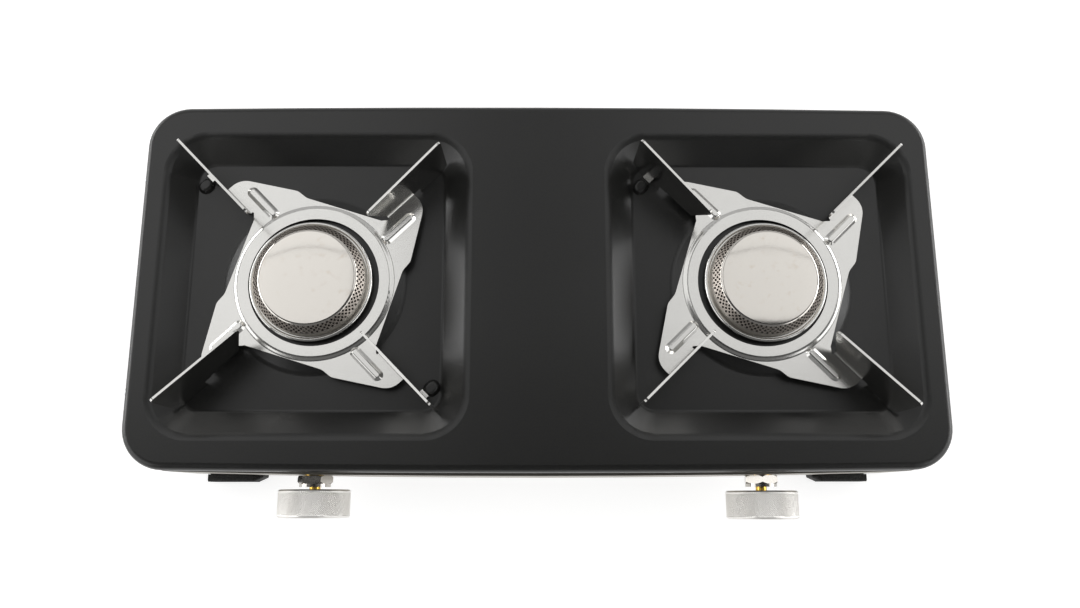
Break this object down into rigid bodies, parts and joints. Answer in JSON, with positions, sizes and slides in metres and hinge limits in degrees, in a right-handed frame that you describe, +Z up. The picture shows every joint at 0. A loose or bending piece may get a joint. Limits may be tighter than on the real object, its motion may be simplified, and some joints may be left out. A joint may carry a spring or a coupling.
{
  "type": "camping stove",
  "caption": "Tabletop camping stove: black pressed tray with round gas burners, bright pan supports with upright blades, and turned front knobs on screw-type needle valves",
  "frame": {"origin": "middle of the whole stove in plan, on the ground under its feet", "axes": "+X to the right along the front, +Y from the knobs to the back, +Z up"},
  "size_m": [0.4444, 0.2416, 0.0947],
  "materials": {
    "black_coat": "satin",
    "grey_steel": "satin",
    "stainless": "polished",
    "warm_stainless": "polished",
    "turned_aluminium": "knurled",
    "brass": "machined",
    "copper_pipe": "drawn",
    "black_rubber": "matte",
    "plated_screw": "zinc plated"
  },
  "bodies": {
    "case": {"base_pan": "grey_steel", "bracket_rivets": "plated_screw", "burner_rivets": "plated_screw", "case_screws": "plated_screw", "foot_nuts": "plated_screw", "foot_screws": "plated_screw", "front_left_foot": "black_rubber", "front_right_foot": "black_rubber", "inlet_fitting": "brass", "inlet_nut": "brass", "inlet_pipe": "copper_pipe", "left_burner_bracket": "grey_steel", "left_burner_cap": "warm_stainless", "left_burner_cup": "stainless", "left_gas_pipe": "copper_pipe", "left_gland_nut": "stainless", "left_jet": "brass", "left_mixing_tube": "grey_steel", "left_valve_body": "brass", "manifold_tee": "brass", "pipe_nuts": "brass", "rear_left_foot": "black_rubber", "rear_right_foot": "black_rubber", "right_burner_bracket": "grey_steel", "right_burner_cap": "warm_stainless", "right_burner_cup": "stainless", "right_gas_pipe": "copper_pipe", "right_gland_nut": "stainless", "right_jet": "brass", "right_mixing_tube": "grey_steel", "right_valve_body": "brass", "top_tray": "black_coat"},
    "left_support": {"left_pan_support": "stainless"},
    "left_seal": {"left_spindle_seal": "black_rubber"},
    "left_control": {"left_knob": "turned_aluminium", "left_spindle": "brass", "left_knob_screw": "plated_screw"},
    "right_support": {"right_pan_support": "stainless"},
    "right_seal": {"right_spindle_seal": "black_rubber"},
    "right_control": {"right_knob": "turned_aluminium", "right_spindle": "brass", "right_knob_screw": "plated_screw"}
  },
  "joints": [
    {"name": "left_support_lift", "type": "slide", "parent": "case", "child": "left_support", "axis": [0, 0, 1], "range_m": [0, 0.06]},
    {"name": "left_spindle_travel", "type": "slide", "parent": "case", "child": "left_seal", "axis": [0, -1, 0], "range_m": [0, 0.0015]},
    {"name": "left_knob_turn", "type": "hinge", "parent": "left_seal", "child": "left_control", "pos_m": [-0.123, -0.09895, 0.036], "axis": [0, -1, 0], "range_deg": [0, 540]},
    {"name": "right_support_lift", "type": "slide", "parent": "case", "child": "right_support", "axis": [0, 0, 1], "range_m": [0, 0.06]},
    {"name": "right_spindle_travel", "type": "slide", "parent": "case", "child": "right_seal", "axis": [0, -1, 0], "range_m": [-0.0008, 0.0007]},
    {"name": "right_knob_turn", "type": "hinge", "parent": "right_seal", "child": "right_control", "pos_m": [0.123, -0.09895, 0.036], "axis": [0, -1, 0], "range_deg": [-288, 252]}
  ],
  "couplings": [
    {"joint": "left_knob_turn", "follows": "left_spindle_travel", "rad_per_m": 6283.2},
    {"joint": "right_knob_turn", "follows": "right_spindle_travel", "rad_per_m": 6283.2}
  ]
}
